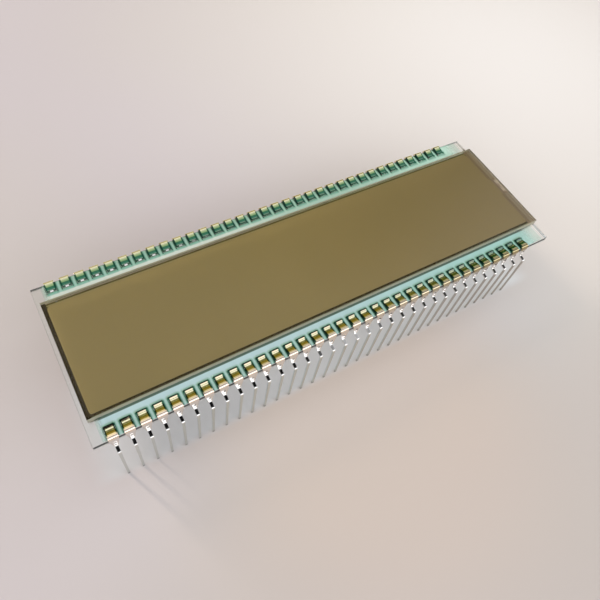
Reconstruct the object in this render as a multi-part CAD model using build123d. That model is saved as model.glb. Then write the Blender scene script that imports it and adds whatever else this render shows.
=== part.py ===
from build123d import *
from math import cos, radians, sin, tan
import os

# Pinned glass LCD panel, in millimetres.
# The origin is the middle of the rear glass's outline, on the plane of the pin tips.
# X runs along the panel, Y across it, and the viewing side faces +Z.

os.makedirs("parts", exist_ok=True)

# Digits, each fed by as many pins of both rows, and one common pin at each end of a row
digits = 8
digit_pins = 4

# Pin field, on the pitch of dual row circuit board headers
pin_spacing = 2.54
row_spacing = 33.02

# Glass cell
glass_thickness = 1.1
glass_height = 12.3  # underside of the rear glass above the pin tips
first_pin_inset = 3.1  # left end of the rear glass to the middle of the first pin
last_pin_inset = 6.48  # middle of the last pin to the right end
stem_reach = 1.51  # edge of the rear glass out to the middle of the stems
ledge_width = 3.9  # bare rear glass along each row
ledge_end = 0.7  # bare rear glass at the left end; the right ends are flush

# Cell gap: films and crystal are drawn thicker than life so that they can be meshed
film_thickness = 0.015
crystal_thickness = 0.02
seal_width = 0.65
end_seal_width = 1.6
seal_corner_radius = 0.8
fill_port_width = 4.4
fill_plug_depth = 1.2
crossover_radius = 0.2
crossover_sides = 8

# Polarising films
polariser_thickness = 0.2
reflector_thickness = 0.1
polariser_inset = 0.25

# Segment electrodes on the rear glass
digit_height = 12.7
digit_space = 1.06  # from a point to the next digit
bar_width = 1.1
bar_gap = 0.2
point_size = 1.2
common_inset = 0.15
lead_width = 0.2
lead_clearance = 0.5  # past the end of a digit
lead_jog = 0.8  # the slanted stretch, along the lead
pad_width = 1.3
pad_length = 2.6
pad_inset = 0.5

# Formed contact pin: a strip stamped to its outline, then bent
strip_thickness = 0.25
clip_width = 1.6
stem_width = 0.5
tip_taper = 0.06  # each side, from the joggle down to the tip
contact_reach = 1.6  # middle of the upper seat, inboard of the glass edge
seat_length = 0.16
lip_angle = 50
lip_length = 0.5
rise_angle = 28
rise_length = 0.5
arm_angle = 12
arm_length = 0.85
crown_angle = 20
crown_length = 0.25
shoulder_angle = 60
edge_clearance = 0.08  # between the glass edge and the leaf
leaf_flare = 0.17
joggle_top = 2.15  # below the ledge
joggle_drop = 0.3
window_top = 0.55
tongue_width = 0.4
tongue_root = 1.6
tongue_reach = 0.9
tongue_seat = 0.4

# Adhesive on the ledges
adhesive_edge_height = 0.12
adhesive_foot_height = 0.3
adhesive_foot_width = 0.5
adhesive_edge_inset = 0.1
adhesive_end_margin = 1.55  # past the middle of the first pin
adhesive_last_inset = 1.3  # short of the right end of the rear glass
pin_gap = 0.06  # around each clip

# Heights and places that follow
pins_per_row = digits * digit_pins + 2
rear_glass_length = first_pin_inset + pin_spacing * (pins_per_row - 1) + last_pin_inset
rear_glass_width = row_spacing - 2 * stem_reach
front_glass_length = rear_glass_length - ledge_end
front_glass_width = rear_glass_width - 2 * ledge_width
digit_width = digit_pins * pin_spacing - bar_width - bar_gap - point_size - digit_space
ledge = glass_height + glass_thickness
film_top = ledge + film_thickness
crystal_top = film_top + crystal_thickness
front_glass_bottom = crystal_top + film_thickness
front_glass_top = front_glass_bottom + glass_thickness
right_end = rear_glass_length / 2
front_left = right_end - front_glass_length
front_edge = front_glass_width / 2
glass_edge = rear_glass_width / 2
first_pin = first_pin_inset - rear_glass_length / 2
pin_places = [first_pin + pin_spacing * i for i in range(pins_per_row)]
cell_left = front_left + seal_width
cell_right = right_end - end_seal_width
cell_edge = front_edge - seal_width


def slab(x_low, x_high, y_low, y_high, z_low, thickness):
    """A flat sheet between the given edges."""
    middle = ((x_low + x_high) / 2, (y_low + y_high) / 2, z_low + thickness / 2)
    return Pos(*middle) * Box(x_high - x_low, y_high - y_low, thickness)


def sheet(outline, z_low, thickness):
    """A flat sheet with a drawn outline."""
    return Pos(0, 0, z_low) * extrude(outline, amount=thickness)


def save(name, *solids):
    """Write one sub-part, which may be several like solids."""
    shape = solids[0] if len(solids) == 1 else Compound(children=list(solids))
    export_step(shape, f"parts/{name}.step")


def cell_window():
    """Rounded outline of the space inside the seal."""
    window = Rectangle(cell_right - cell_left, 2 * cell_edge)
    window = fillet(window.vertices(), seal_corner_radius)
    return Pos((cell_left + cell_right) / 2, 0) * window


def front_outline():
    """Outline of the front glass."""
    return Pos((front_left + right_end) / 2, 0) * Rectangle(front_glass_length, front_glass_width)


def fill_port():
    """The way through the seal at the right end, by which the cell was filled."""
    return Pos((cell_right + right_end) / 2, 0) * Rectangle(end_seal_width, fill_port_width)


def crossover_places():
    """One conductive dot at each corner, in the seal, over a common lead."""
    ends = (pin_places[0], pin_places[-1])
    return [(x, side * (front_edge - seal_width / 2)) for x in ends for side in (-1, 1)]


# Rear and front glass
rear_glass = slab(-right_end, right_end, -glass_edge, glass_edge, glass_height, glass_thickness)
save("rear_glass", rear_glass)
front_glass = sheet(front_outline(), front_glass_bottom, glass_thickness)
save("front_glass", front_glass)

# Polarisers: one on the front glass, one with a reflector on the back of the cell
film_left = front_left + polariser_inset
film_right = right_end - polariser_inset
film_edge = front_edge - polariser_inset


def film(z_low, thickness):
    """A film cut a little inside the front glass's outline."""
    return slab(film_left, film_right, -film_edge, film_edge, z_low, thickness)


save("front_polariser", film(front_glass_top, polariser_thickness))
rear_film_bottom = glass_height - polariser_thickness
save("rear_polariser", film(rear_film_bottom, polariser_thickness))
save("reflector", film(rear_film_bottom - reflector_thickness, reflector_thickness))

# Layer between the glasses: gasket, its plug and conductive dots, and the crystal
crossovers = [Pos(*place) * RegularPolygon(crossover_radius, crossover_sides) for place in crossover_places()]
gasket = front_outline() - cell_window() - fill_port()
for dot in crossovers:
    gasket -= dot
save("perimeter_seal", sheet(gasket, film_top, crystal_thickness))
save("crossover_dots", *[sheet(dot, film_top, crystal_thickness) for dot in crossovers])

plug = Pos(right_end - fill_plug_depth / 2, 0) * Rectangle(fill_plug_depth, fill_port_width)
save("end_seal", sheet(plug, film_top, crystal_thickness))

port_rest = end_seal_width - fill_plug_depth
port_fill = Pos(cell_right + port_rest / 2, 0) * Rectangle(port_rest, fill_port_width)
save("liquid_crystal", sheet(cell_window() + port_fill, film_top, crystal_thickness))

# Common electrode under the front glass, wide enough to meet the dots in the gasket
common_length = front_glass_length - 2 * common_inset
common_width = front_glass_width - 2 * common_inset
common = Pos((front_left + right_end) / 2, 0) * Rectangle(common_length, common_width)
save("common_electrode", sheet(common, crystal_top, film_thickness))


def band(points, width):
    """A flat band of constant width along straight runs, with mitred turns."""
    line = [Vector(*point) for point in points]
    runs = [(end - start).normalized() for start, end in zip(line, line[1:])]
    left = []
    right = []
    for point, before, after in zip(line, runs[:1] + runs, runs + runs[-1:]):
        along = (before + after).normalized()
        aside = Vector(-along.Y, along.X) * (width / 2 / along.dot(after))
        left.append(point + aside)
        right.append(point - aside)
    return Polygon(*right, *reversed(left), align=None)


def patch(x, y, width, height):
    """A rectangle about the given point."""
    return Pos(x, y) * Rectangle(width, height)


def lead(pin_x, side, *corners):
    """The pad under a pin and the lead from it through the given corners."""
    pad_y = side * (glass_edge - pad_inset - pad_length / 2)
    return patch(pin_x, pad_y, pad_width, pad_length) + band([(pin_x, pad_y), *corners], lead_width)


def digit_electrodes(pins):
    """Seven bars and a point, each with its lead, fed by the pins of both rows at the given places."""
    middle = (pins[0] + pins[-1]) / 2 - point_size / 2
    left = middle - digit_width / 2
    right = middle + digit_width / 2
    top = digit_height / 2
    flat = digit_width - bar_width - 2 * bar_gap
    tall = top - 2 * bar_gap
    point_x = right + bar_width / 2 + bar_gap + point_size / 2
    settle = top + bar_width / 2 + lead_clearance
    shapes = [
        patch(middle, 0, flat, bar_width) + lead(pins[-1], 1, (pins[-1], 0), (middle, 0)),
        patch(point_x, -top, point_size, point_size) + lead(pins[-1], -1, (pins[-1], -top)),
    ]
    for side in (-1, 1):
        beside = side * (top - bar_width / 2)
        corners = [(pins[2], side * (settle + lead_jog)), (right, side * settle), (right, beside)]
        shapes += [
            patch(middle, side * top, flat, bar_width) + lead(pins[1], side, (pins[1], side * top)),
            patch(left, side * top / 2, bar_width, tall) + lead(pins[0], side, (pins[0], beside)),
            patch(right, side * top / 2, bar_width, tall) + lead(pins[2], side, *corners),
        ]
    return shapes


# Segment electrodes, one set for each digit, and the common leads at the four corners
for digit in range(digits):
    first = 1 + digit_pins * digit
    shapes = digit_electrodes(pin_places[first:first + digit_pins])
    save(f"digit_{digit + 1}_electrodes", *[sheet(shape, ledge, film_thickness) for shape in shapes])

common_leads = [lead(x, y / abs(y), (x, y)) for x, y in crossover_places()]
save("common_leads", *[sheet(shape, ledge, film_thickness) for shape in common_leads])


def strip(points, width):
    """A strip of metal bent to the given side view, level across its width."""
    return extrude(Plane.YZ * band(points, strip_thickness), amount=width / 2, both=True)


def bent(start, *runs):
    """Points of a side view that goes outboard in straight runs, each an angle and a length."""
    points = [start]
    for angle, length in runs:
        u, w = points[-1]
        points.append((u - length * cos(radians(angle)), w + length * sin(radians(angle))))
    return points


def contact_pin():
    """One pin, with the glass edge at Y = 0, the glass on the +Y side and the pad's top at Z = 0."""
    half = strip_thickness / 2
    stem_y = -stem_reach
    leaf_y = -edge_clearance - half

    # Upper jaw: flared lip, flat seat on the pad, long spring arm, bend over the glass edge
    seat = (contact_reach + seat_length / 2, half)
    lip = bent(seat, (180 - lip_angle, lip_length))[-1]
    jaw = bent(seat, (0, seat_length), (rise_angle, rise_length), (arm_angle, arm_length),
               (-crown_angle, crown_length))
    shoulder = (leaf_y, jaw[-1][1] - (jaw[-1][0] - leaf_y) * tan(radians(shoulder_angle)))
    joggle = (leaf_y - leaf_flare, -joggle_top)
    stem = [(stem_y, -joggle_top - joggle_drop), (stem_y, -film_top)]
    body = strip([lip, *jaw, shoulder, joggle, *stem], clip_width)

    # Stamped outline, seen from the front: clip, tapered leaf, stem and trimmed tip
    right = [
        (clip_width / 2, film_top), (clip_width / 2, shoulder[1]), (stem_width / 2, -joggle_top),
        (stem_width / 2 - tip_taper, -film_top),
    ]
    left = [(-x, z) for x, z in reversed(right)]
    blank = Plane.XZ * Polygon(*right, *left, align=None)
    body &= extrude(blank, amount=glass_edge, both=True)

    # Window in the leaf, and the lower jaw that was lanced out of it
    half_tongue = tongue_width / 2
    height = tongue_root - window_top
    body -= slab(-half_tongue, half_tongue, joggle[0] - half, 0, -tongue_root, height)
    foot = (joggle[0], -tongue_root - half)
    touch = (tongue_reach, -film_thickness - glass_thickness - half)
    return body + strip([foot, touch, (touch[0] + tongue_seat, touch[1])], tongue_width)


# Contact pins, saved as neighbours in pairs
pin = contact_pin()
for pair in range(pins_per_row // 2):
    places = pin_places[2 * pair:2 * pair + 2]
    name = f"pins_{2 * pair + 1:02d}_{2 * pair + 2:02d}"
    save(f"near_{name}", *[pin.moved(Location((x, -glass_edge, film_top))) for x in places])
    save(f"far_{name}", *[pin.moved(Location((x, glass_edge, film_top), (0, 0, 180))) for x in places])


def adhesive():
    """Adhesive on the near ledge, with a slot round each clip."""
    outer = glass_edge - adhesive_edge_inset
    foot = front_edge + adhesive_foot_width
    section = Plane.YZ * Polygon(
        (-outer, film_top), (-front_edge, film_top), (-front_edge, film_top + adhesive_foot_height),
        (-foot, film_top + adhesive_edge_height), (-outer, film_top + adhesive_edge_height), align=None,
    )
    start = first_pin - adhesive_end_margin
    end = right_end - adhesive_last_inset
    strand = Pos(start, 0, 0) * extrude(section, amount=end - start)
    half = clip_width / 2 + pin_gap
    inner = glass_edge - contact_reach - lip_length - pin_gap
    for x in pin_places:
        strand -= slab(x - half, x + half, -glass_edge, -inner, film_top, adhesive_foot_height)
    return strand


near_strand = adhesive()
save("near_adhesive", near_strand)
save("far_adhesive", mirror(near_strand, about=Plane.XZ))
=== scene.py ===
# %% [markdown]
# # A pinned glass LCD, from bare frame to finished look
#
# The frame holds the true solids of the panel: two glasses, their films, the layers between them and
# two rows of clip pins. This file dresses them. It is read from top to bottom: the camera and the room,
# then the clear layers, the clip pins, the adhesive, and the finishes. Lengths are thought out in
# millimetres and turned to metres in one place.

# %% Load the frame
import math

import bmesh
import bpy
from mathutils import Matrix, Quaternion, Vector


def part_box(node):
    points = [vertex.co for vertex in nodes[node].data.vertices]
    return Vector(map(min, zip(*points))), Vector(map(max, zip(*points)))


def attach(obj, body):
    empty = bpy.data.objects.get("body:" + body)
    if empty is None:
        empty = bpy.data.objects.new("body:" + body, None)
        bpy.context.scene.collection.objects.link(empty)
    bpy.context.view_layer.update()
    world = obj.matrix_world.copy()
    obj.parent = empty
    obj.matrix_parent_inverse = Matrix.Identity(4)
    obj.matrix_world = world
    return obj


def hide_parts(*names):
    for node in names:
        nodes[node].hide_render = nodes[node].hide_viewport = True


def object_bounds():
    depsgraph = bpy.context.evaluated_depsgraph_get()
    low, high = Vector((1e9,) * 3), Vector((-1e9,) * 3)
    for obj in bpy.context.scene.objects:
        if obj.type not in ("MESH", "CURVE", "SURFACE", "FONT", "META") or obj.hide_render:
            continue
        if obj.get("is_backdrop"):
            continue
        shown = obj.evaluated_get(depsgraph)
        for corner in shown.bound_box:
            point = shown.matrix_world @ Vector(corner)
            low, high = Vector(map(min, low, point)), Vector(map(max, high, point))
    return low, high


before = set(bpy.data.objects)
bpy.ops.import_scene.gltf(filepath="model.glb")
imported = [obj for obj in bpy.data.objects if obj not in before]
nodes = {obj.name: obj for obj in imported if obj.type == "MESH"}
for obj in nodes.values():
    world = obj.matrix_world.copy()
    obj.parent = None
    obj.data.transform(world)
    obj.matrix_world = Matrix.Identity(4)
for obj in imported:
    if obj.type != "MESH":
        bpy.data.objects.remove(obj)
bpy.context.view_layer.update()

MM = 0.001

# %% [markdown]
# The panel lies along X. Near means the viewer's side, which is minus Y, and the plugged end is at the
# right. Several finishes change close to an edge of the glass, so the edges are measured first. The rest
# of the file counts from them, and follows if the part's sizes change.


# %% Measure the glasses
def corners_mm(node):
    """The low and the high corner of a node's box in millimetres."""
    return [[round(c / MM, 3) for c in corner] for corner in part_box(node)]


(front_left, _, _), (panel_end, front_side, front_top) = corners_mm("front_glass")
_, (_, glass_edge, rear_top) = corners_mm("rear_glass")
pad_height = corners_mm("common_leads")[1][2]  # top of the contact pads above the pin tips
print(f"front glass to {front_side} mm, rear glass to {glass_edge} mm, pads at {pad_height} mm")

# %% [markdown]
# ## Small helpers
#
# A colour is easiest to judge as a screen value, such as one read off a swatch, but a shader works in
# linear light. One function turns the first into the second. Another adds a node with its settings and
# its links, so that each material below reads as a short recipe.
#
# Most finishes here change from place to place, so two more helpers think as a painter does. A zone is a
# mask with soft borders: it says where a coat goes. A painted colour is a ground with coats laid over it,
# each through its mask.


# %% Colour and node helpers
def linear(hex_colour):
    """Turn a screen colour such as "#A5CFC6" into the linear values that a shader takes."""
    shares = [int(hex_colour[i:i + 2], 16) / 255 for i in (1, 3, 5)]
    return [s / 12.92 if s <= 0.04045 else ((s + 0.055) / 1.055) ** 2.4 for s in shares] + [1.0]


def add_node(tree, kind, feeds=None, **settings):
    """Add a node. feeds gives its inputs, each a plain value or another node's output."""
    node = tree.nodes.new(kind)
    for name, value in settings.items():
        setattr(node, name, value)
    for socket, value in (feeds or {}).items():
        if isinstance(value, bpy.types.NodeSocket):
            tree.links.new(value, node.inputs[socket])
        else:
            node.inputs[socket].default_value = value
    return node


def new_material(name):
    """An empty node material and its output node."""
    material = bpy.data.materials.new(name)
    material.use_nodes = True
    material.node_tree.nodes.clear()
    return material, material.node_tree, add_node(material.node_tree, "ShaderNodeOutputMaterial")


print("middle grey on a screen is", round(linear("#808080")[0], 2), "of white in linear light")


# %% Places, masks and coats
def whereabouts(tree):
    """A point's place on its piece in metres, whole and as X, Y and Z."""
    place = add_node(tree, "ShaderNodeTexCoord").outputs["Object"]
    return place, add_node(tree, "ShaderNodeSeparateXYZ", {0: place}).outputs


def zone(tree, *limits, unit=MM, kind="SMOOTHSTEP", most=1.0):
    """A mask that has its most where all its limits are met, and 0 where one isn't.

    A limit is (value, start, end), in millimetres unless another unit is given: it isn't met at the
    start, it is at the end, and it is partly met in between. Another mask can be a limit too.
    """
    mask = most
    for limit in limits:
        if isinstance(limit, tuple):
            value, start, end = limit
            limit = add_node(tree, "ShaderNodeMapRange", {
                "Value": value, "From Min": start * unit, "From Max": end * unit,
            }, interpolation_type=kind).outputs[0]
        mask = add_node(tree, "ShaderNodeMath", {0: mask, 1: limit}, operation="MULTIPLY").outputs[0]
    return mask


def outside(tree, mask):
    """The rest of the surface, outside a mask."""
    return add_node(tree, "ShaderNodeMath", {0: 1.0, 1: mask}, operation="SUBTRACT").outputs[0]


def painted(tree, colour, *coats):
    """A ground colour under coats, each a (mask, colour) pair. A single limit will do as a mask."""
    for mask, coat in coats:
        mask = zone(tree, mask) if isinstance(mask, tuple) else mask
        ground, over = (linear(c) if isinstance(c, str) else c for c in (colour, coat))
        mixed = add_node(tree, "ShaderNodeMix", {0: mask, 6: ground, 7: over}, data_type="RGBA")
        colour = mixed.outputs[2]
    return colour


# %% [markdown]
# ## Camera
#
# The photo looks down on the panel from beside its left half, held close. The place, the aim and the
# slight roll of the hand were found by fitting a camera to the corners of the glass and to the pins.

# %% Set the camera
camera_place = Vector((-42.3, -46.5, 96.8)) * MM
camera_aim = Vector((-7.29, -6.83, 14.75)) * MM
camera_roll = math.radians(13.47)
camera_lens = 33.8  # mm, on Blender's sensor of 36 mm
nearest_seen = 5 * MM

camera_data = bpy.data.cameras.new("camera")
camera_data.lens = camera_lens
camera_data.clip_start = nearest_seen
camera = bpy.data.objects.new("camera", camera_data)
bpy.context.scene.collection.objects.link(camera)
camera.location = camera_place
camera.rotation_mode = "QUATERNION"
level_view = (camera_aim - camera_place).to_track_quat("-Z", "Y")
camera.rotation_quaternion = level_view @ Quaternion((0, 0, 1), camera_roll)
bpy.context.scene.camera = camera
print(f"camera {round((camera_aim - camera_place).length / MM)} mm from the middle of the picture")

# %% [markdown]
# ## Room
#
# The panel stands on a pale table in soft daylight. Matt things take their light from all of the room,
# but bright metal shows the room itself, so a white room makes it look like plaster. A product
# photographer hangs dark cards round bright metal, and the room below is painted with some of them: a
# long dark one overhead, which the joggles of the pins show, a small one low on the viewer's side, and
# olive ones beyond the panel, which the arms of the clips show. The joggles further right look paler, so
# the overhead card has a gap there and turns from black to grey.
#
# The world's shader is given the direction in which a ray leaves. Its X, Y and Z run from -1 to 1, so the
# places of the cards below are parts of that unit ball and not lengths. The room is brightest low on the
# viewer's side, so that light also reaches in under the glass.

# %% Ready the world
scene = bpy.context.scene
scene.view_settings.view_transform = "Standard"
world = bpy.data.worlds.new("room")
scene.world = world
world.use_nodes = True
world.node_tree.nodes.clear()
room = world.node_tree
direction = add_node(room, "ShaderNodeTexCoord").outputs["Generated"]
part = add_node(room, "ShaderNodeSeparateXYZ", {0: direction}).outputs
print("world ready, view transform", scene.view_settings.view_transform)


# %% Hang the cards
def band(value, low, high, edge):
    """The two limits of a band that runs from low to high, with soft edges."""
    return (value, low - edge, low + edge), (value, high + edge, high - edge)


far_card = zone(room, *band(part["Y"], 0.36, 0.84, 0.08), *band(part["Z"], 0.38, 0.82, 0.06), unit=1)
far_card_right = zone(room, (part["X"], 0.45, 0.65), unit=1, kind="LINEAR")
far_card_colour = painted(room, "#8A7B3C", (far_card_right, "#26502F"))
low_card = zone(room, (part["Y"], 0.6, 0.7), *band(part["Z"], 0.12, 0.36, 0.04), unit=1)

card_gap = zone(room, *band(part["X"], 0.37, 0.45, 0.03), unit=1, most=0.6)
overhead_card = zone(room, *band(part["Y"], -0.25, -0.05, 0.02), *band(part["X"], -0.16, 0.9, 0.04),
                     (part["Z"], 0.5, 0.6), outside(room, card_gap), unit=1)
overhead_right = zone(room, (part["X"], 0.45, 0.6), unit=1)
overhead_colour = painted(room, "#08080A", (overhead_right, "#464646"))

small_card_place = Vector((-0.13, -0.97, 0.19)).normalized()
small_card_rim, small_card_inside = math.radians(9.6), math.radians(9.2)
toward_card = add_node(room, "ShaderNodeVectorMath", {0: direction, 1: small_card_place},
                       operation="DOT_PRODUCT").outputs["Value"]
small_card = zone(room, (toward_card, math.cos(small_card_rim), math.cos(small_card_inside)), unit=1)
print("4 cards hung")

# %% Paint and light the room
room_colour = painted(room, "#EEF2F8", (low_card, "#A9A268"), (far_card, far_card_colour),
                      (overhead_card, overhead_colour), (small_card, "#0E0C0C"))
room_strength, added_low_down = 1.05, 1.4
low_near_side = zone(room, (part["Y"], -0.1, -0.45), (part["Z"], 0.75, 0.5), unit=1, most=added_low_down)
brightness = add_node(room, "ShaderNodeMath", {0: low_near_side, 1: room_strength}, operation="ADD")
room_light = add_node(room, "ShaderNodeBackground", {
    "Color": room_colour, "Strength": brightness.outputs[0],
})
add_node(room, "ShaderNodeOutputWorld", {"Surface": room_light.outputs[0]})
print(len(room.nodes), "nodes in the room")

# %% [markdown]
# One tall, narrow window beyond the panel gives the soft shadows that the stems cast towards the viewer.
# Its height doesn't blur the shadow of an upright stem, but its width does, and its light comes in low
# enough to pass under the glass.

# %% Hang the window
window_azimuth, window_height, window_distance = math.radians(115), math.radians(27), 1.5
window_size, window_energy = (0.15, 0.85), 9.0  # metres, watts

window_data = bpy.data.lights.new("window", "AREA")
window_data.shape = "RECTANGLE"
window_data.size, window_data.size_y = window_size
window_data.energy = window_energy
window_data.color = linear("#FFEBDA")[:3]
window = bpy.data.objects.new("window", window_data)
scene.collection.objects.link(window)
window.location = window_distance * Vector((
    math.cos(window_azimuth) * math.cos(window_height),
    math.sin(window_azimuth) * math.cos(window_height),
    math.sin(window_height),
))
window.rotation_mode = "QUATERNION"
window.rotation_quaternion = window.location.to_track_quat("Z", "Y")
print(f"window {window_size[0]} m wide, {window_distance} m away")

# %% [markdown]
# ## Table
#
# A matt painted board. A large and faint noise lets its colour drift from pinkish grey to warm grey. Over
# that go coats of painted light and shade for the light of the real room: warmer to the right and in
# front of the panel, paler at the far right, a little darker near the viewer. Under the panel it is
# painted cooler and paler, as painted light for what the clear glass passes on.

# %% Make the table
table_radius = 1.6
table_corners = 96
drift_size = 111  # mm from one tone to the next

bpy.ops.object.select_all(action="DESELECT")
bpy.ops.mesh.primitive_circle_add(vertices=table_corners, radius=table_radius, fill_type="NGON")
table = bpy.context.object
table.name = "table_top"
table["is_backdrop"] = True
board, tree, out = new_material("painted_board")
place, axes = whereabouts(tree)


def painted_light_patch(spot, outer, inner):
    """A patch of painted light on the table: full within the inner radius of a spot, gone at the outer
    one.
    """
    distance = add_node(tree, "ShaderNodeVectorMath", {0: place, 1: Vector(spot) * MM},
                        operation="DISTANCE").outputs["Value"]
    return zone(tree, (distance, outer, inner))


drift = add_node(tree, "ShaderNodeTexNoise", {
    "Vector": place, "Scale": 1 / (drift_size * MM), "Detail": 1.0,
}).outputs[0]
from_middle = add_node(tree, "ShaderNodeMath", {0: axes["X"]}, operation="ABSOLUTE").outputs[0]
under_panel = zone(tree, (axes["Y"], -glass_edge - 2.5, -glass_edge - 0.5), (axes["Y"], 6, -2),
                   (from_middle, panel_end + 3.3, panel_end - 2.7))
passed_light = painted(tree, "#D1CFCF", ((axes["X"], -42, -5), "#E9E7E5"))
# Painted light and shade on the board: warmer to the right, a pale patch at the far right, a warm patch
# in front of the panel, darker near the viewer, and paler and cooler under the panel.
board_colour = painted(
    tree, "#CCC2C3",
    (zone(tree, (drift, 0.35, 0.7), unit=1, kind="LINEAR"), "#CCC3BC"),
    (zone(tree, (axes["X"], 0, 80), most=0.5), "#CDC1AF"),
    (painted_light_patch((105, 45, 0), 150, 0), "#EFE9E4"),
    (painted_light_patch((-2, -29, 0), 45, 15), "#DAC9BC"),
    (zone(tree, (axes["Y"], -24, -50), most=0.35), "#BDB2AD"),
    (under_panel, passed_light),
)
board_shader = add_node(tree, "ShaderNodeBsdfPrincipled", {
    "Base Color": board_colour, "Roughness": 0.75, "Specular IOR Level": 0.2,
})
tree.links.new(board_shader.outputs[0], out.inputs["Surface"])
table.data.materials.append(board)
print("table top", round(2 * table_radius, 1), "m across")

# %% [markdown]
# ## Clear layers
#
# The films and the conductive coats lie face to face on the glasses. A ray tracer can't tell which of
# two faces in one plane it meets first, so clear layers flicker. Each clear layer is therefore copied
# and thinned by a few thousandths of a millimetre, about its own middle. Nothing moves that can be seen.


# %% Copy and thin the clear layers
def select_only(piece):
    """Make one object the only selected and the active one."""
    bpy.ops.object.select_all(action="DESELECT")
    piece.select_set(True)
    bpy.context.view_layer.objects.active = piece


def thinned(node, name, clearance):
    """A copy of a flat node, with its two faces drawn in by the clearance in millimetres."""
    piece = nodes[node].copy()
    piece.data = nodes[node].data.copy()
    for key in list(piece.keys()):
        del piece[key]
    piece.parent = None
    piece.name = name
    scene.collection.objects.link(piece)
    select_only(piece)
    low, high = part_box(node)
    thickness = high.z - low.z
    bpy.ops.object.mode_set(mode="EDIT")
    bpy.ops.mesh.select_all(action="SELECT")
    bpy.ops.mesh.remove_doubles(threshold=merge_distance)
    left = 1 - 2 * clearance * MM / thickness
    bpy.ops.transform.resize(value=(1, 1, left), center_override=(low + high) / 2)
    bpy.ops.object.mode_set(mode="OBJECT")
    piece.data.materials.clear()
    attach(piece, "root")
    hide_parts(node)
    return piece


merge_distance = 0.0001 * MM
film_clearance = 0.004  # mm
coat_clearance = 0.002  # mm
front_film = thinned("front_polariser", "front_film", film_clearance)
rear_film = thinned("rear_polariser", "rear_film", film_clearance)
coats = [thinned("common_electrode", "common_coat", coat_clearance)]
coats.append(thinned("common_leads", "common_lead_coats", coat_clearance))
for node in sorted(n for n in nodes if n.startswith("digit_")):
    coats.append(thinned(node, node.replace("electrodes", "coats"), coat_clearance))
print(f"2 films and {len(coats)} conductive coats thinned")

# %% [markdown]
# ## Clip pin
#
# Each pin is one stamped strip of tin plated bronze, bent in a progressive tool: a flared lip, a seat
# that presses on the pad, a springy arm, a bend over the glass edge, a leaf that tapers to the stem, and
# a joggle that brings the stem out to the standard row spacing. A tongue lanced out of the leaf bears on
# the glass from below. It could be drawn as a block and cut away, but a strip is truer: one edge of a
# plane is extruded along the side view, bend by bend, narrowed as the blank is, and then thickened.
#
# The side view is written as corners with a bend radius at each. u runs inboard from the glass edge and
# w up from the pad, both in millimetres, which match Y and Z of a pin on the near side.


# %% Side view of a bent strip
bend_step = 15  # degrees from one facet of a bend to the next


def rounded(corners):
    """Points of a line through (u, w, bend radius) corners, each bend as a true arc."""
    points = [Vector(corners[0][:2])]
    for before, here, after in zip(corners, corners[1:], corners[2:]):
        corner = Vector(here[:2])
        back = (Vector(before[:2]) - corner).normalized()
        on = (Vector(after[:2]) - corner).normalized()
        half_turn = (math.pi - back.angle(on)) / 2
        reach = here[2] * math.tan(half_turn)
        centre = corner + (back + on).normalized() * (here[2] / math.cos(half_turn))
        spoke = corner + back * reach - centre
        steps = max(2, round(math.degrees(2 * half_turn) / bend_step))
        side = 1 if back.x * on.y - back.y * on.x < 0 else -1
        for i in range(steps + 1):
            turn = Matrix.Rotation(side * 2 * half_turn * i / steps, 2)
            points.append(centre + turn @ spoke)
    points.append(Vector(corners[-1][:2]))
    return points


strip_thickness = 0.25
clip_width, stem_width, tip_width = 1.6, 0.5, 0.38
leaf_top, joggle_top = 0.07, -2.15
tip_end = -pad_height
flared_lip = [(2.0, 0.51, 0), (1.68, 0.125, 0.14), (1.52, 0.125, 0.14)]
arm_and_bridge = [(1.08, 0.36, 0.3), (0.25, 0.54, 0.3), (0.015, 0.45, 0.18)]
leaf = [(-0.205, leaf_top, 0.28), (-0.375, joggle_top, 0.2)]
joggle_and_stem = [(-1.51, -2.45, 0.2), (-1.51, tip_end, 0)]
side_view = rounded(flared_lip + arm_and_bridge + leaf + joggle_and_stem)
print(f"{len(side_view)} points in the pin's side view")


# %% Extrude the strip
hair = 1e-5  # mm; points that are closer than this are one point


def width_at(w):
    """Width of the stamped blank at a height."""
    if w >= leaf_top:
        return clip_width
    if w >= joggle_top:
        share = (leaf_top - w) / (leaf_top - joggle_top)
        return clip_width + (stem_width - clip_width) * share
    return stem_width


def bent_strip(points, width_of):
    """A strip along the points, its width set by a function of the height."""
    bpy.ops.object.select_all(action="DESELECT")
    bpy.ops.mesh.primitive_plane_add(size=1)
    strip = bpy.context.object
    first, second = points[:2]
    for vertex in strip.data.vertices:
        at = first if vertex.co.y < 0 else second
        vertex.co = (math.copysign(width_of(at.y) / 2, vertex.co.x), at.x, at.y)
    bpy.ops.object.mode_set(mode="EDIT")
    mesh = bmesh.from_edit_mesh(strip.data)
    bpy.ops.mesh.select_all(action="DESELECT")
    for edge in mesh.edges:
        if all((v.co.yz - second).length < hair for v in edge.verts):
            edge.select_set(True)
    bmesh.update_edit_mesh(strip.data)
    for before, after in zip(points[1:], points[2:]):
        step = after - before
        bpy.ops.mesh.extrude_region_move(TRANSFORM_OT_translate={"value": (0, step.x, step.y)})
        narrowing = width_of(after.y) / width_of(before.y)
        if narrowing != 1:
            bpy.ops.transform.resize(value=(narrowing, 1, 1), center_override=(0, after.x, after.y))
    bpy.ops.object.mode_set(mode="OBJECT")
    return strip


pin = bent_strip(side_view, width_at)
print(len(pin.data.polygons), "faces in the bent strip")

# %% [markdown]
# The window is cut like a stencil: two upright and two level bisections score the leaf, and the face
# between them is deleted. The tongue that came out of the window is a narrower strip of its own, bent
# inward until it lies flat against the underside of the glass.

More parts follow.
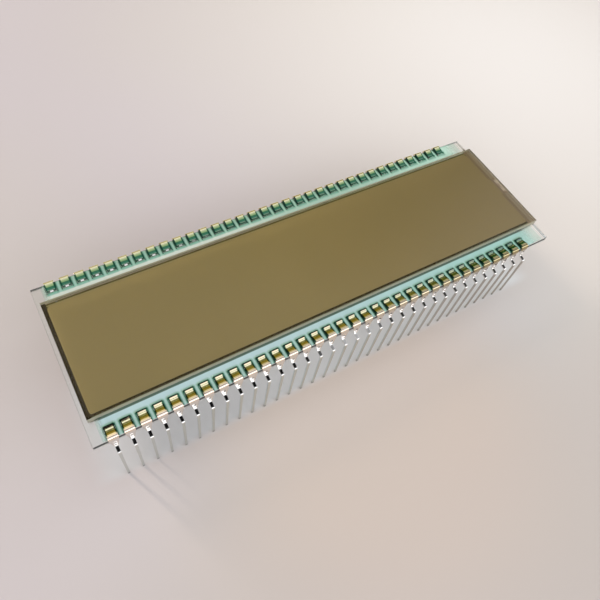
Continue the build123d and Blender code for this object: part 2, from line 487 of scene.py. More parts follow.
# %% Cut the window and add the tongue
window_half, window_top, window_foot = 0.2, -0.55, -1.6
select_only(pin)
bpy.ops.object.mode_set(mode="EDIT")
cuts = [((s * window_half, 0, 0), (1, 0, 0)) for s in (-1, 1)]
cuts += [((0, 0, z), (0, 0, 1)) for z in (window_top, window_foot)]
for cut_place, cut_normal in cuts:
    mesh = bmesh.from_edit_mesh(pin.data)
    bpy.ops.mesh.select_all(action="DESELECT")
    for face in mesh.faces:
        centre = face.calc_center_median()
        if joggle_top < centre.z < leaf_top and centre.y < 0:
            face.select_set(True)
    bmesh.update_edit_mesh(pin.data)
    bpy.ops.mesh.bisect(plane_co=cut_place, plane_no=cut_normal, threshold=hair)
mesh = bmesh.from_edit_mesh(pin.data)
bpy.ops.mesh.select_all(action="DESELECT")
for face in mesh.faces:
    centre = face.calc_center_median()
    if abs(centre.x) < window_half and window_foot < centre.z < window_top and centre.y < 0:
        face.select_set(True)
bmesh.update_edit_mesh(pin.data)
bpy.ops.mesh.delete(type="FACE")
bpy.ops.object.mode_set(mode="OBJECT")

tongue_line = rounded([(-0.345, -1.68, 0), (-0.30, -1.47, 0.12), (0.9, -1.24, 0.3), (1.3, -1.24, 0)])
tongue = bent_strip(tongue_line, lambda w: 2 * window_half)
bpy.ops.object.select_all(action="DESELECT")
tongue.select_set(True)
pin.select_set(True)
bpy.context.view_layer.objects.active = pin
bpy.ops.object.join()
print("window cut, tongue joined")

# %% [markdown]
# Stamping leaves a strip with crisp but not razor sharp edges. Solidify gives the metal its thickness,
# evenly to both sides of the line that was drawn, and a fine bevel catches the light along the edges.
# Only the bends are shaded smooth, by an angle just over one step of a bend, and the normals lean to the
# larger face. Otherwise the flat faces would mirror the room as if they were domed.

# %% Thicken and finish the pin
edge_bevel, bevel_steps, sharp_angle = 0.035, 2, 50

select_only(pin)
bpy.ops.object.mode_set(mode="EDIT")
bpy.ops.mesh.select_all(action="SELECT")
bpy.ops.mesh.normals_make_consistent(inside=False)
mesh = bmesh.from_edit_mesh(pin.data)
bpy.ops.mesh.select_all(action="DESELECT")
for vertex in mesh.verts:
    if vertex.co.z < tip_end + 10 * hair:
        vertex.select_set(True)
bmesh.update_edit_mesh(pin.data)
bpy.ops.transform.resize(value=(tip_width / stem_width, 1, 1), center_override=(0, 0, tip_end))
bpy.ops.object.mode_set(mode="OBJECT")
thicken = pin.modifiers.new("thickness", "SOLIDIFY")
thicken.thickness, thicken.offset, thicken.use_even_offset = strip_thickness, 0, True
soften = pin.modifiers.new("edges", "BEVEL")
soften.width, soften.segments, soften.limit_method = edge_bevel, bevel_steps, "ANGLE"
soften.angle_limit = math.radians(sharp_angle)
for modifier in ("thickness", "edges"):
    bpy.ops.object.modifier_apply(modifier=modifier)
bpy.ops.object.shade_smooth_by_angle(angle=math.radians(bend_step + 4))
even = pin.modifiers.new("flats", "WEIGHTED_NORMAL")
even.weight, even.keep_sharp = 100, True
bpy.ops.object.modifier_apply(modifier="flats")
print(len(pin.data.polygons), "faces in the finished pin")

# %% [markdown]
# ## Two rows of pins
#
# The frame keeps the pins in pairs. Each pair is replaced by two copies of the modelled pin, each copy
# with its own mesh, at the places where the frame has them: the pair's box gives its first pin.


# %% Copy the pin to every place
def copied(source, turn, place):
    """A copy of a mesh in millimetres, turned about Z and placed, its mesh in metres."""
    piece = source.copy()
    piece.data = source.data.copy()
    scene.collection.objects.link(piece)
    in_place = Matrix.Translation(place) @ Matrix.Rotation(turn, 4, "Z")
    piece.data.transform(Matrix.Scale(MM, 4) @ in_place)
    return piece


rows = {"near": (0.0, -glass_edge), "far": (math.pi, glass_edge)}
pin_pieces = []
pin_pairs = sorted(n for n in nodes if "_pins_" in n)
for node in pin_pairs:
    side, numbers = node.split("_pins_")
    turn, edge = rows[side]
    low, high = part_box(node)
    ends = (low.x / MM + clip_width / 2, high.x / MM - clip_width / 2)
    pair = [copied(pin, turn, Vector((x, edge, pad_height))) for x in ends]
    bpy.ops.object.select_all(action="DESELECT")
    for piece in pair:
        piece.select_set(True)
    bpy.context.view_layer.objects.active = pair[0]
    bpy.ops.object.join()
    piece = pair[0]
    piece.name = f"{side}_clips_{numbers}"
    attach(piece, "root")
    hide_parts(node)
    pin_pieces.append(piece)
bpy.data.objects.remove(pin)
print(f"{len(pin_pieces)} pairs of pins")

# %% [markdown]
# ## Adhesive
#
# A teal adhesive is run along each ledge and cured by ultraviolet light. It locks the pins and keeps
# damp off the pads. A liquid wets what it touches, so it climbs the edge of the front glass and the
# sides of every clip, and it creeps under their arms. One grid is laid along the ledge, the faces where
# a clip touches its pad are deleted, and each point is raised by how near it lies to a wall. Solidify
# would give it an even thickness, but its underside is flat, so it is extruded down to the ledge instead.
#
# The grid's columns follow X and repeat with the clips; its lines follow Y, from the rim of the ledge to
# the front glass. Both lie closer together where the surface bends.

# %% Measure the ledge
strand_low, strand_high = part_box("near_adhesive")
strand_start, strand_end = strand_low.x / MM, strand_high.x / MM
strand_outer, strand_inner = strand_low.y / MM, strand_high.y / MM
pin_spacing = 2.54
first_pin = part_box("near_pins_01_02")[0].x / MM + clip_width / 2
pin_count = len(pin_pairs)  # the pairs are in two rows, so one row has as many pins
slot_half = clip_width / 2 + 0.03
lip_reach = 2.16  # the slots reach this far in from the glass edge
seat_near, seat_far = 1.28, 1.88  # between these distances from the glass edge, the clip is on its pad
print(f"{pin_count} clips along {strand_end - strand_start:.1f} mm of ledge")

# %% Place the points of the grid
slot_end = lip_reach - glass_edge
from_clip_middles = (0.4, slot_half - 0.01, slot_half + 0.02, 0.9, 1.0, 1.15)
under_clips = [inboard - glass_edge for inboard in (0.3, 0.7, 1.0, seat_near, 1.6, seat_far, 2.0)]
past_clips = [slot_end + gap for gap in (-0.01, 0.02, 0.09, 0.24, 0.44, 0.74, 1.04)]
up_the_glass = [strand_inner - gap for gap in (0.45, 0.3, 0.18, 0.1, 0.04)]

columns = [strand_start]
for i in range(pin_count):
    middle = first_pin + i * pin_spacing
    columns += [middle - offset for offset in reversed(from_clip_middles)]
    columns += [middle] + [middle + offset for offset in from_clip_middles]
columns += [columns[-1] + 0.6, strand_end]
columns = [x for x in columns if strand_start <= x <= strand_end]
lines = [strand_outer, *under_clips, *past_clips, *up_the_glass, strand_inner]
print(f"{len(columns)} by {len(lines)} points on a strand")

# %% Work out the height of the adhesive
skin = 0.12  # height of the flat parts, in mm as all of these
pool = 0.05  # height of what has crept under the clips
tallest = 0.42
edge_droop = 0.75  # the share of the skin's height that is lost at its rim
climb_glass, climb_clip, climb_lip = 0.1, 0.12, 0.25
wall_reach, clip_reach, side_reach = 0.12, 0.13, 0.5
ripple_height = 0.008


def meniscus(distance, reach=wall_reach):
    """1 at a wall, falling to 0 with the distance from it, as a wetting liquid does."""
    return math.exp(-max(distance, 0) / reach)


def from_clip(x):
    """Distance along the row from the middle of the nearest clip."""
    nearest = min(max(round((x - first_pin) / pin_spacing), 0), pin_count - 1)
    return abs(x - first_pin - nearest * pin_spacing)


def under_clip(x, y):
    """True under a clip."""
    return from_clip(x) < slot_half and y < slot_end


def at_seat(x, y):
    """True where a clip touches the pad."""
    return under_clip(x, y) and seat_near < y + glass_edge < seat_far


def height(x, y):
    """Height of the adhesive above the pads."""
    if under_clip(x, y):
        return pool
    beside = from_clip(x) - slot_half
    ahead = y - slot_end
    to_clip = math.hypot(max(beside, 0), max(ahead, 0))
    to_end = min(x - strand_start, strand_end - x)
    to_edge = min(y - strand_outer, to_end)
    flat = skin * (1 - edge_droop * meniscus(to_edge))
    ripple = ripple_height * math.sin(2.1 * x) * math.sin(1.3 * x + 2 * y)
    rise = climb_glass * meniscus(strand_inner - y)
    rise += climb_clip * meniscus(to_clip, clip_reach) * meniscus(ahead, side_reach)
    if ahead > 0 and beside < 0:
        rise += climb_lip * meniscus(ahead - 0.02)
    return min(flat + ripple + rise, tallest)


print(f"{height(first_pin, slot_end + 0.02):.2f} mm high at a lip")

# %% Lay the grid and raise it
bpy.ops.object.select_all(action="DESELECT")
bpy.ops.mesh.primitive_grid_add(x_subdivisions=len(columns) - 1, y_subdivisions=len(lines) - 1, size=2)
strand = bpy.context.object
for vertex in strand.data.vertices:
    x = columns[round((vertex.co.x + 1) / 2 * (len(columns) - 1))]
    y = lines[round((vertex.co.y + 1) / 2 * (len(lines) - 1))]
    vertex.co = (x, y, pad_height + height(x, y))
print(len(strand.data.vertices), "points raised")

# %% Open the seats and close the underside
floor_height = pad_height + 0.003
drop = 0.5  # any depth will do, because the new faces are then flattened onto the floor
crease_angle = 50

bpy.ops.object.mode_set(mode="EDIT")
mesh = bmesh.from_edit_mesh(strand.data)
bpy.ops.mesh.select_all(action="DESELECT")
for face in mesh.faces:
    centre = face.calc_center_median()
    if at_seat(centre.x, centre.y):
        face.select_set(True)
bmesh.update_edit_mesh(strand.data)
bpy.ops.mesh.delete(type="FACE")
bpy.ops.mesh.select_all(action="SELECT")
bpy.ops.mesh.extrude_region_move(TRANSFORM_OT_translate={"value": (0, 0, -drop)})
bpy.ops.transform.resize(value=(1, 1, 0), center_override=(0, 0, floor_height))
bpy.ops.mesh.select_all(action="SELECT")
bpy.ops.mesh.normals_make_consistent(inside=False)
bpy.ops.object.mode_set(mode="OBJECT")
select_only(strand)
bpy.ops.object.shade_smooth_by_angle(angle=math.radians(crease_angle))
print(len(strand.data.polygons), "faces in the strand")

# %% Copy it to both ledges
strands = []
for side, mirror in (("near", 1), ("far", -1)):
    piece = copied(strand, 0.0, Vector((0, 0, 0)))
    piece.name = f"{side}_adhesive_strand"
    if mirror < 0:
        piece.data.transform(Matrix.Diagonal((1, -1, 1, 1)))
        piece.data.flip_normals()
    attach(piece, "root")
    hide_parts(f"{side}_adhesive")
    strands.append(piece)
bpy.data.objects.remove(strand)
print(len(strands), "strands")

# %% [markdown]
# ## Finishes: glass
#
# Display glass is thin soda lime float glass, polished by the float bath on both faces and merely
# scribed and snapped at its edges. The faces are clear and mirror a little; the snapped edges scatter
# light and look grey green. Along the arris of the rear glass runs a dark line of painted shade, the
# shadow under the panel seen through the edge, and the far edge of the front glass is painted paler for
# the light from behind. Rays from lamps are let through, because a ray tracer can't find a lamp through
# a surface that bends light. The front glass carries a bonded film, and where two clear things are
# bonded there is no mirror between them, so its specular tint is dark.


# %% Faces, edges and lamps
def face_mask(tree):
    """1 on level faces and 0 on upright edges."""
    normal = add_node(tree, "ShaderNodeTexCoord").outputs["Normal"]
    upright = add_node(tree, "ShaderNodeSeparateXYZ", {0: normal}).outputs["Z"]
    level = add_node(tree, "ShaderNodeMath", {0: upright}, operation="ABSOLUTE").outputs[0]
    return zone(tree, (level, 0.35, 0.65), unit=1, kind="LINEAR")


def lit_through(tree, shader, hex_colour):
    """The shader, but clear to rays that look for a lamp, except at the edges."""
    path = add_node(tree, "ShaderNodeLightPath").outputs["Is Shadow Ray"]
    passed = painted(tree, "#707870", (face_mask(tree), hex_colour))
    clear = add_node(tree, "ShaderNodeBsdfTransparent", {"Color": passed}).outputs[0]
    return add_node(tree, "ShaderNodeMixShader", {0: path, 1: shader, 2: clear}).outputs[0]


# %% Glass with cut edges
def cut_glass(name, edge_look, mirror_colour):
    """Float glass with snapped upright edges. A function gives their colour and how much they show."""
    ridge_size = 1.111  # mm between the ridges of a snapped edge
    material, tree, out = new_material(name)
    clear = add_node(tree, "ShaderNodeBsdfPrincipled", {
        "Base Color": linear("#F8FBF9"), "Roughness": 0.0, "IOR": 1.52, "Transmission Weight": 1.0,
        "Specular Tint": linear(mirror_colour),
    })
    place, axes = whereabouts(tree)
    ridges = add_node(tree, "ShaderNodeTexNoise", {
        "Vector": place, "Scale": 1 / (ridge_size * MM), "Detail": 3.0,
    })
    snapped = add_node(tree, "ShaderNodeMapRange", {
        "Value": ridges.outputs[0], "To Min": 0.25, "To Max": 0.5,
    })
    edge_colour, edge_show = edge_look(tree, axes)
    edge = add_node(tree, "ShaderNodeBsdfPrincipled", {
        "Base Color": edge_colour, "Roughness": snapped.outputs[0], "IOR": 1.52,
        "Transmission Weight": 0.2,
    })
    faces = add_node(tree, "ShaderNodeMixShader", {
        0: zone(tree, outside(tree, face_mask(tree)), edge_show), 1: clear.outputs[0], 2: edge.outputs[0],
    })
    tree.links.new(lit_through(tree, faces.outputs[0], "#F2F8F4"), out.inputs["Surface"])
    return material


# %% Edges of the two glasses
def front_edge(tree, axes):
    """Olive grey sides, the far one painted paler for the light from behind; grey at the right, its arris
    dark.
    """
    right_end = (axes["X"], panel_end - 0.15, panel_end - 0.05)
    # Painted light: the far edge is paler, for the light that reaches it from behind.
    far_side = (axes["Y"], -1, 1)
    arris = zone(tree, (axes["Z"], front_top - 0.4, front_top - 0.2), (axes["Y"], -9, 1))
    end_colour = painted(tree, "#A39A92", (arris, "#4E423B"))
    return painted(tree, "#A49F8A", (far_side, "#DED6C2"), (right_end, end_colour)), 1.0


def rear_edge(tree, axes):
    """Pale, with a dark line of painted shade along its arris that fades at the far right; clear at the
    end.
    """
    shaded_arris = (axes["Z"], rear_top - 0.8, rear_top - 0.65)
    far_right = zone(tree, (axes["Y"], 0, 1), (axes["X"], 10, 35))
    left_end = (axes["X"], 0.1 - panel_end, 0.04 - panel_end)
    # Painted shade: the dark line stands for the shadow under the panel, seen through the edge.
    line = painted(tree, "#16231F", (far_right, "#A59C96"))
    colour = painted(tree, "#C4C1BD", (shaded_arris, line), (left_end, "#BDBAB6"))
    return colour, zone(tree, (axes["X"], panel_end - 0.04, panel_end - 0.1))


front_glass_finish = cut_glass("float_glass_under_film", front_edge, "#3A3A3A")
rear_glass_finish = cut_glass("float_glass_with_bare_ledge", rear_edge, "#FFFFFF")
print("glass finishes made")

# %% [markdown]
# ## Finishes: films, crystal and seal
#
# A polariser is a stretched, iodine dyed film, grey brown to look through, with a satin hard coat. The
# grain of that coat is finer than the render can show, so it is drawn at a quarter of a millimetre. With
# nothing shown, the crystal turns the light so that it comes back from the reflector olive brown, with
# painted shade that darkens it a little towards the right. The gasket doesn't turn light, so between
# crossed polarisers it looks almost black. Near the long edges and at the plugged end, stray light from
# the cut edges brightens it, and that light is painted into its colour, which follows its place.


# %% Films
def film_finish(name, tint, roughness, strength):
    """A clear coloured film with a satin skin, which shines only on its outer side."""
    coat_grain = 0.25
    material, tree, out = new_material(name)
    place = add_node(tree, "ShaderNodeTexCoord").outputs["Object"]
    grain = add_node(tree, "ShaderNodeTexNoise", {
        "Vector": place, "Scale": 1 / (coat_grain * MM), "Detail": 2.0,
    })
    fine = add_node(tree, "ShaderNodeBump", {
        "Height": grain.outputs[0], "Strength": 0.05, "Distance": 0.01 * MM,
    })
    mirror = add_node(tree, "ShaderNodeFresnel", {"IOR": 1.49, "Normal": fine.outputs[0]})
    behind = add_node(tree, "ShaderNodeNewGeometry").outputs["Backfacing"]
    shine = zone(tree, mirror.outputs[0], outside(tree, behind), most=strength)
    dyed = add_node(tree, "ShaderNodeBsdfTransparent", {"Color": linear(tint)})
    skin_shine = add_node(tree, "ShaderNodeBsdfAnisotropic", {
        "Color": (1, 1, 1, 1), "Roughness": roughness, "Normal": fine.outputs[0],
    })
    mixed = add_node(tree, "ShaderNodeMixShader", {
        0: shine, 1: dyed.outputs[0], 2: skin_shine.outputs[0],
    })
    tree.links.new(mixed.outputs[0], out.inputs["Surface"])
    return material


polariser_finish = film_finish("dyed_polariser_film", "#FBF9F3", 0.2, 0.4)
coat_finish = film_finish("conductive_oxide_coat", "#FEFEFC", 0.05, 0.1)
print("film and coat finishes made")

# %% Crystal
cloud_size = 35.7  # mm; the cell gap isn't quite even, so the olive drifts

crystal_finish, tree, out = new_material("twisted_crystal_layer")
place, axes = whereabouts(tree)
cloud = add_node(tree, "ShaderNodeTexNoise", {
    "Vector": place, "Scale": 1 / (cloud_size * MM), "Detail": 2.0,
}).outputs[0]
# Painted shade: the olive turns a little darker and greyer towards the right; the cloud is the uneven
# cell gap.
crystal_colour = painted(
    tree, "#C2AC7F",
    (zone(tree, (cloud, 0.3, 0.75), unit=1, kind="LINEAR"), "#CFB687"),
    (zone(tree, (axes["X"], -5, 45), kind="LINEAR"), "#BCA480"),
    ((axes["Y"], 0.9 - front_side, 0.8 - front_side), "#403512"),
)
layer = add_node(tree, "ShaderNodeBsdfPrincipled", {
    "Base Color": crystal_colour, "Roughness": 0.7, "Specular IOR Level": 0.0,
})
tree.links.new(layer.outputs[0], out.inputs["Surface"])
print("crystal finish made")

# %% Gasket
speckle_size = 1.43

seal_finish, tree, out = new_material("epoxy_gasket_between_polarisers")
place, axes = whereabouts(tree)
speckle = add_node(tree, "ShaderNodeTexNoise", {
    "Vector": place, "Scale": 1 / (speckle_size * MM), "Detail": 3.0,
}).outputs[0]
dark = painted(tree, "#3F2F16", (speckle, "#4B3B1F"))
# Painted light: the bands along the far side, near the viewer and at the plugged end are paler for the
# stray light from the cut edges; the left end stays dark.
far_band = painted(
    tree, "#D2BFAE",
    ((axes["X"], -15, 10), "#CCC7A8"),
    ((axes["X"], 22, 42), "#E6E6DE"),
)
far_rim = painted(
    tree, "#C0B083",
    ((axes["Y"], front_side - 0.6, front_side - 0.45), "#776A42"),
    ((axes["Y"], front_side - 0.28, front_side - 0.13), far_band),
)
right_band = painted(
    tree, "#A88E78",
    ((axes["X"], panel_end - 1.1, panel_end - 0.6), "#C0AC9C"),
    ((axes["X"], panel_end - 0.3, panel_end - 0.05), "#A89484"),
)
seal_colour = painted(
    tree, dark,
    ((axes["Y"], 0.48 - front_side, 0.38 - front_side), "#95937A"),
    ((axes["Y"], front_side - 0.8, front_side - 0.7), far_rim),
    ((axes["X"], front_left + 0.75, front_left + 0.65), dark),
    ((axes["X"], panel_end - 1.75, panel_end - 1.6), right_band),
)
epoxy = add_node(tree, "ShaderNodeBsdfPrincipled", {
    "Base Color": seal_colour, "Roughness": 0.6, "Specular IOR Level": 0.2,
})
tree.links.new(epoxy.outputs[0], out.inputs["Surface"])
print("gasket finish made")

# %% [markdown]
# The plug is a drop of acrylic resin, cured in the mouth of the filling port. It is brownish where it
# lies between the glasses, and milky with small bubbles where it reaches the open air.

# %% Plug
bubble_size = 1.111
plug_half = corners_mm("end_seal")[1][1]

plug_finish, tree, out = new_material("cured_acrylic_plug")
place, axes = whereabouts(tree)
bubbles = add_node(tree, "ShaderNodeTexNoise", {
    "Vector": place, "Scale": 1 / (bubble_size * MM), "Detail": 3.0,
}).outputs[0]
from_middle = add_node(tree, "ShaderNodeMath", {0: axes["Y"]}, operation="ABSOLUTE").outputs[0]
milky = painted(tree, "#CDB3AA", (zone(tree, (bubbles, 0.35, 0.65), unit=1), "#FFEDE8"))
at_mouth = zone(tree, (axes["X"], panel_end - 0.8, panel_end - 0.45),
                (from_middle, plug_half, plug_half - 1))
resin = add_node(tree, "ShaderNodeBsdfPrincipled", {
    "Base Color": painted(tree, "#AB9082", (at_mouth, milky)), "Roughness": 0.4,
    "Specular IOR Level": 0.3,
})
tree.links.new(resin.outputs[0], out.inputs["Surface"])
print("plug finish made")

# %% [markdown]
# Two more finishes are hardly seen. The crossover dots are epoxy filled with silver flakes, a matt and
# mottled grey. The reflector is a film with a skin of aluminium, embossed so that it scatters the light
# that it throws back and doesn't mirror the viewer.

# %% Dots and reflector
flake_size = 0.4
emboss_size, emboss_depth = 0.4545, 0.02

dot_finish, tree, out = new_material("silver_filled_epoxy")
place = add_node(tree, "ShaderNodeTexCoord").outputs["Object"]
flakes = add_node(tree, "ShaderNodeTexNoise", {
    "Vector": place, "Scale": 1 / (flake_size * MM), "Detail": 3.0,
}).outputs[0]
silvery = painted(tree, "#8F8B80", (zone(tree, (flakes, 0.3, 0.7), unit=1, kind="LINEAR"), "#A19D92"))
paste = add_node(tree, "ShaderNodeBsdfPrincipled", {
    "Base Color": silvery, "Roughness": 0.6, "Specular IOR Level": 0.2,
})
tree.links.new(paste.outputs[0], out.inputs["Surface"])

foil_finish, tree, out = new_material("aluminised_reflector_film")
place = add_node(tree, "ShaderNodeTexCoord").outputs["Object"]
embossed = add_node(tree, "ShaderNodeTexNoise", {
    "Vector": place, "Scale": 1 / (emboss_size * MM), "Detail": 2.0,
}).outputs[0]
emboss = add_node(tree, "ShaderNodeBump", {
    "Height": embossed, "Strength": 0.2, "Distance": emboss_depth * MM,
})
sheen = add_node(tree, "ShaderNodeMapRange", {"Value": embossed, "To Min": 0.28, "To Max": 0.42})
foil = add_node(tree, "ShaderNodeBsdfPrincipled", {
    "Base Color": linear("#EEEEEC"), "Metallic": 1.0, "Roughness": sheen.outputs[0],
    "Normal": emboss.outputs[0],
})
tree.links.new(foil.outputs[0], out.inputs["Surface"])
print("dots and foil made")

# %% [markdown]
# ## Finishes: adhesive
#
# Cured acrylic adhesive is a glossy, slightly cloudy teal. It is deep green where it climbs the clips,
# partly for its depth there and partly as painted shade beside and under them, greyish where it climbs
# the front glass, with a painted highlight on the far strand at the left, and it thins out to clear
# glass at its two ends. The clips repeat, so the distance to the nearest one is worked out in the
# material: a ping-pong of X counts from the middle of a clip out to halfway between two and back.

# %% Distances from the clips
last_pin = first_pin + (pin_count - 1) * pin_spacing
clip_end = glass_edge - lip_reach


def from_clip_middle(tree, axes):
    """Distance along the row from the middle of the nearest clip."""
    moved = add_node(tree, "ShaderNodeMath", {0: axes["X"], 1: first_pin * MM}, operation="SUBTRACT")
    return add_node(tree, "ShaderNodeMath", {0: moved.outputs[0], 1: pin_spacing / 2 * MM},
                    operation="PINGPONG").outputs[0]


def beyond(tree, length, limit):
    """How far a length goes past a limit, and 0 short of it."""
    past = add_node(tree, "ShaderNodeMath", {0: length, 1: limit}, operation="SUBTRACT").outputs[0]
    return add_node(tree, "ShaderNodeMath", {0: past, 1: 0.0}, operation="MAXIMUM").outputs[0]


# %% Places on the adhesive
adhesive_finish, tree, out = new_material("teal_acrylic_adhesive")
place, axes = whereabouts(tree)
across = add_node(tree, "ShaderNodeMath", {0: axes["Y"]}, operation="ABSOLUTE").outputs[0]
beside_clip = beyond(tree, from_clip_middle(tree, axes), slot_half * MM)
before_clip = beyond(tree, clip_end * MM, across)
both_ways = add_node(tree, "ShaderNodeCombineXYZ", {0: beside_clip, 1: before_clip}).outputs[0]
to_clip = add_node(tree, "ShaderNodeVectorMath", {0: both_ways}, operation="LENGTH").outputs["Value"]

in_row = zone(tree, (axes["X"], first_pin - 1.3, first_pin - 1.1),
              (axes["X"], last_pin + 1.3, last_pin + 1.1))
paler_ahead = outside(tree, zone(tree, (before_clip, 0, 0.08), most=0.7))
# Partly real and partly painted shade: the teal is deep green next to the clips, where it is thicker and
# in their shade.
deep_and_shaded_at_clip = zone(tree, (to_clip, 0.3, 0.05), in_row, paler_ahead)
green_at_clip = zone(tree, (to_clip, 0.6, 0.15), in_row, most=0.75)
# Painted highlight: the far strand is pale from the ends of the lips to the front glass, at the left.
far_gleam = zone(tree, (axes["Y"], clip_end - 0.3, clip_end - 0.42), (axes["X"], 5, -15))
thick = zone(tree, (axes["X"], strand_start, strand_start + 1.3), (axes["X"], strand_end, last_pin - 0.5),
             most=0.9)
print("adhesive masked")

# %% Colours of the adhesive
haze_size = 2.857

haze = add_node(tree, "ShaderNodeTexNoise", {
    "Vector": place, "Scale": 1 / (haze_size * MM), "Detail": 3.0,
}).outputs[0]
near_left = painted(tree, "#BFD9DA", (haze, "#CDE6E8"))
near_right = painted(tree, "#ABD5CB", (haze, "#B9E3D9"))
far_teal = painted(
    tree, "#AED2C8",
    ((axes["X"], -40, 0), "#BBDACA"),
    ((axes["X"], 15, 40), "#CBF0DF"),
    (far_gleam, "#E4EEE4"),
)
deep_and_shaded_green = painted(tree, "#25654F", ((axes["X"], -40, -15), "#1B5241"))
gel_colour = painted(
    tree, near_left,
    ((axes["X"], -20, 40), near_right),
    ((axes["Y"], -1, 1), far_teal),
    (green_at_clip, "#86C0A2"),
    ((across, front_side + 0.45, front_side + 0.32), "#54685A"),
    (deep_and_shaded_at_clip, deep_and_shaded_green),
)
gel = add_node(tree, "ShaderNodeBsdfPrincipled", {
    "Base Color": gel_colour, "Roughness": 0.25, "IOR": 1.48,
})
thin = add_node(tree, "ShaderNodeBsdfTransparent", {"Color": linear("#F6FCFA")})
gel_mix = add_node(tree, "ShaderNodeMixShader", {0: thick, 1: thin.outputs[0], 2: gel.outputs[0]})
tree.links.new(gel_mix.outputs[0], out.inputs["Surface"])
print("adhesive finish made")

# %% [markdown]
# ## Finishes: pins
#
# The pins are phosphor bronze, tinned for soldering, with a thin spot of gold on the arm of each clip.
# Over the gold go painted reflections, each with its own mask: a pinkish bridge over the glass edge,
# yellow on the slope, and a greenish, patchy stretch down to the pad with one bright fold, a painted
# highlight. Bright metal is coloured by what it mirrors, and each clip of a row sees another part of the
# room, so many of these painted reflections change along X.
#
# The rest is tin. Its stems are painted greyer, browner to the right, and darkest at their tips, where
# painted contact shade falls, and the lips and near bends of the clips are painted darker towards the
# right, as painted shade. Along the sides of the arms and over the far lips a skin of adhesive has wetted
# the metal, and its dark green is partly painted shade; at the left a bare spot on each far lip is a
# painted highlight.

# %% Gold of the clips, with painted reflections
patch_size = 0.3125

pin_finish, tree, out = new_material("gold_flashed_tinned_bronze")
place, axes = whereabouts(tree)
across = add_node(tree, "ShaderNodeMath", {0: axes["Y"]}, operation="ABSOLUTE").outputs[0]
inboard = add_node(tree, "ShaderNodeMath", {0: glass_edge * MM, 1: across},
                   operation="SUBTRACT").outputs[0]
near_side = zone(tree, (axes["Y"], 1, 0))
far_side = zone(tree, (axes["Y"], 0, 1))
to_right = zone(tree, (axes["X"], -15, 36))

patches = add_node(tree, "ShaderNodeTexNoise", {
    "Vector": place, "Scale": 1 / (patch_size * MM), "Detail": 1.0,
}).outputs[0]
# Painted reflections: the bridge turns from pinkish to tan towards the right, the fold is a painted
# highlight that turns green to the right, and the far arms run from cream to deep green towards the pad.
bridge = painted(tree, "#F8E6D0", (to_right, "#B5A67D"))
fold = painted(tree, "#FFF8D6", ((axes["X"], 5, 36), "#7F9A84"))
rise = painted(
    tree, "#C6C686",
    (zone(tree, (patches, 0.42, 0.62), unit=1, most=0.6), "#8B8A4C"),
    ((inboard, 1.36, 1.46), fold),
)
far_gold_and_reflections = painted(
    tree, "#F8ECC0",
    ((inboard, 0.25, 0.9), "#93AC78"),
    ((inboard, 0.9, 1.15), "#3B7558"),
)
gold_and_reflections = painted(
    tree, bridge,
    ((inboard, 0.3, 0.6), "#F4EBB6"),
    ((inboard, 0.8, 1.05), rise),
    (far_side, far_gold_and_reflections),
)
gold_spot = zone(tree, (axes["Z"], pad_height + 0.1, pad_height + 0.35), (inboard, 1.8, 1.65))
print("gold painted")

# %% Tin of the stems and lips, with painted shade
stem = zone(tree, (axes["Z"], pad_height - 2.3, pad_height - 2.9))
# Painted reflection and shade: the stems are grey, browner towards the right, and darkest near the table,
# for the contact shade at their tips.
stem_tin_and_shade = painted(tree, "#D3DAD6", (to_right, "#BDB3A8"), ((axes["Z"], 0.7, 0.3), "#98958C"))
# Painted shade: the upper parts of the near clips darken towards the right.
clip_shade_to_right = zone(tree, to_right, (axes["Z"], pad_height - 0.6, pad_height - 0.2), near_side)
# Painted reflection and shade: the lips darken towards the right, the near lips turn from pale to dark
# along the row, and the ends of the near lips are a dark line of painted shade.
lip = zone(tree, (inboard, 1.65, 1.75))
lip_end = painted(tree, "#443D2F", ((axes["X"], 0, 34), "#4B5B54"))
near_lip = painted(
    tree, "#BDB094",
    (zone(tree, (axes["X"], -12, 34), kind="LINEAR"), "#4E5F57"),
    ((inboard, 1.86, 1.93), lip_end),
)
print("tin painted")

# %% Skin of adhesive and painted shade on the clips
over_pad = zone(tree, (axes["Z"], pad_height, pad_height + 0.05))
from_middle = from_clip_middle(tree, axes)
# Partly real and partly painted shade: the adhesive skin along the arm sides and over the far lips is
# dark green; where no_gleam is low, on the far lips at the left, bare metal is left as a painted
# highlight.
side_skin_and_shade = zone(tree, (from_middle, 0.57, 0.68), (inboard, 0.2, 0.6))
no_gleam = add_node(tree, "ShaderNodeMath", {
    0: zone(tree, (from_middle, 0.2, 0.34)), 1: zone(tree, (axes["X"], -30, -12)),
}, operation="MAXIMUM").outputs[0]
far_lip_skin_and_shade = zone(tree, far_side, (inboard, 1.72, 1.8), no_gleam)
skin_and_shade_mask = add_node(tree, "ShaderNodeMath", {0: side_skin_and_shade, 1: far_lip_skin_and_shade},
                     operation="MAXIMUM").outputs[0]
print("skin of adhesive masked")

# %% [markdown]
# The left side of a clip is painted darker, as shade. Its place is counted from halfway between two
# clips, where a floored modulo of X starts again at 0, so the left side of each clip comes first. Then
# all the coats go on.

# %% Coats of the pin
half_spacing = pin_spacing / 2
moved = add_node(tree, "ShaderNodeMath", {0: axes["X"], 1: (half_spacing - first_pin) * MM},
                 operation="ADD").outputs[0]
from_left = add_node(tree, "ShaderNodeMath", {0: moved, 1: pin_spacing * MM},
                     operation="FLOORED_MODULO").outputs[0]
# Painted shade: the left side of each clip over the pad, on all but the clips at the far left.
left_side_shade = zone(tree, (from_left, half_spacing - 0.5, half_spacing - 0.62), (axes["X"], -40, -15),
                 (inboard, 0, 0.3), over_pad)

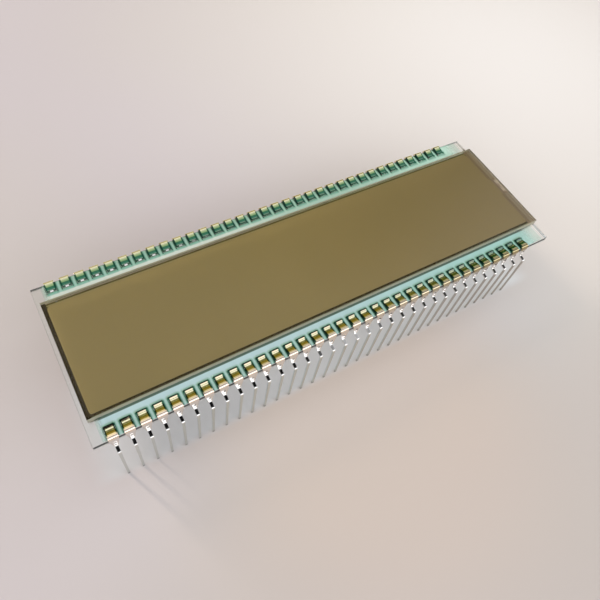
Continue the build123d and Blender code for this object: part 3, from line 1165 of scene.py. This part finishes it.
metal = painted(
    tree, "#EAE6E1",
    (stem, stem_tin_and_shade),
    (clip_shade_to_right, "#AFA27F"),
    (gold_spot, gold_and_reflections),
    (zone(tree, lip, (axes["X"], 0, 38), kind="LINEAR"), "#6C8A7A"),
    (zone(tree, lip, near_side), near_lip),
    (zone(tree, skin_and_shade_mask, over_pad, most=0.96), "#14513B"),
    (left_side_shade, "#1B4437"),
)
print("coats laid")

# %% [markdown]
# The strip was drawn through a die, which leaves scratches along it, three to a millimetre, so the polish
# varies. Where the near arms come down from the bridge, a haze of adhesive makes them satin.

# %% Polish of the pins
scratch_width, scratch_length = 1 / 3, 2.0

per_metre = [1 / (size * MM) for size in (scratch_width, scratch_length, scratch_length)]
stretched = add_node(tree, "ShaderNodeMapping", {"Vector": place, "Scale": per_metre}).outputs[0]
scratches = add_node(tree, "ShaderNodeTexNoise", {"Vector": stretched, "Scale": 1.0, "Detail": 3.0})
polish = add_node(tree, "ShaderNodeMapRange", {
    "Value": scratches.outputs[0], "To Min": 0.05, "To Max": 0.12,
})
satin = zone(tree, (inboard, 0.8, 0.4), (inboard, 0.1, 0.3), near_side, over_pad, most=0.4)
roughness = add_node(tree, "ShaderNodeMath", {0: satin, 1: polish.outputs[0]}, operation="ADD")
plate = add_node(tree, "ShaderNodeBsdfPrincipled", {
    "Base Color": metal, "Metallic": 1.0, "Roughness": roughness.outputs[0],
})
tree.links.new(plate.outputs[0], out.inputs["Surface"])
print("pin finish made")

# %% [markdown]
# ## Dress every piece
#
# Last, each piece and each node that is still shown gets its finish.


# %% Give out the finishes
def dress(piece, material):
    """One finish for a whole piece, on all of its faces."""
    piece.data.materials.clear()
    piece.data.materials.append(material)
    for polygon in piece.data.polygons:
        polygon.material_index = 0


dress(nodes["front_glass"], front_glass_finish)
dress(nodes["rear_glass"], rear_glass_finish)
dress(nodes["liquid_crystal"], crystal_finish)
dress(nodes["perimeter_seal"], seal_finish)
dress(nodes["end_seal"], plug_finish)
dress(nodes["crossover_dots"], dot_finish)
dress(nodes["reflector"], foil_finish)
dress(front_film, polariser_finish)
dress(rear_film, polariser_finish)
for piece in coats:
    dress(piece, coat_finish)
for piece in strands:
    dress(piece, adhesive_finish)
for piece in pin_pieces:
    dress(piece, pin_finish)

# %% Measure the bounds of what is shown
low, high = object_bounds()
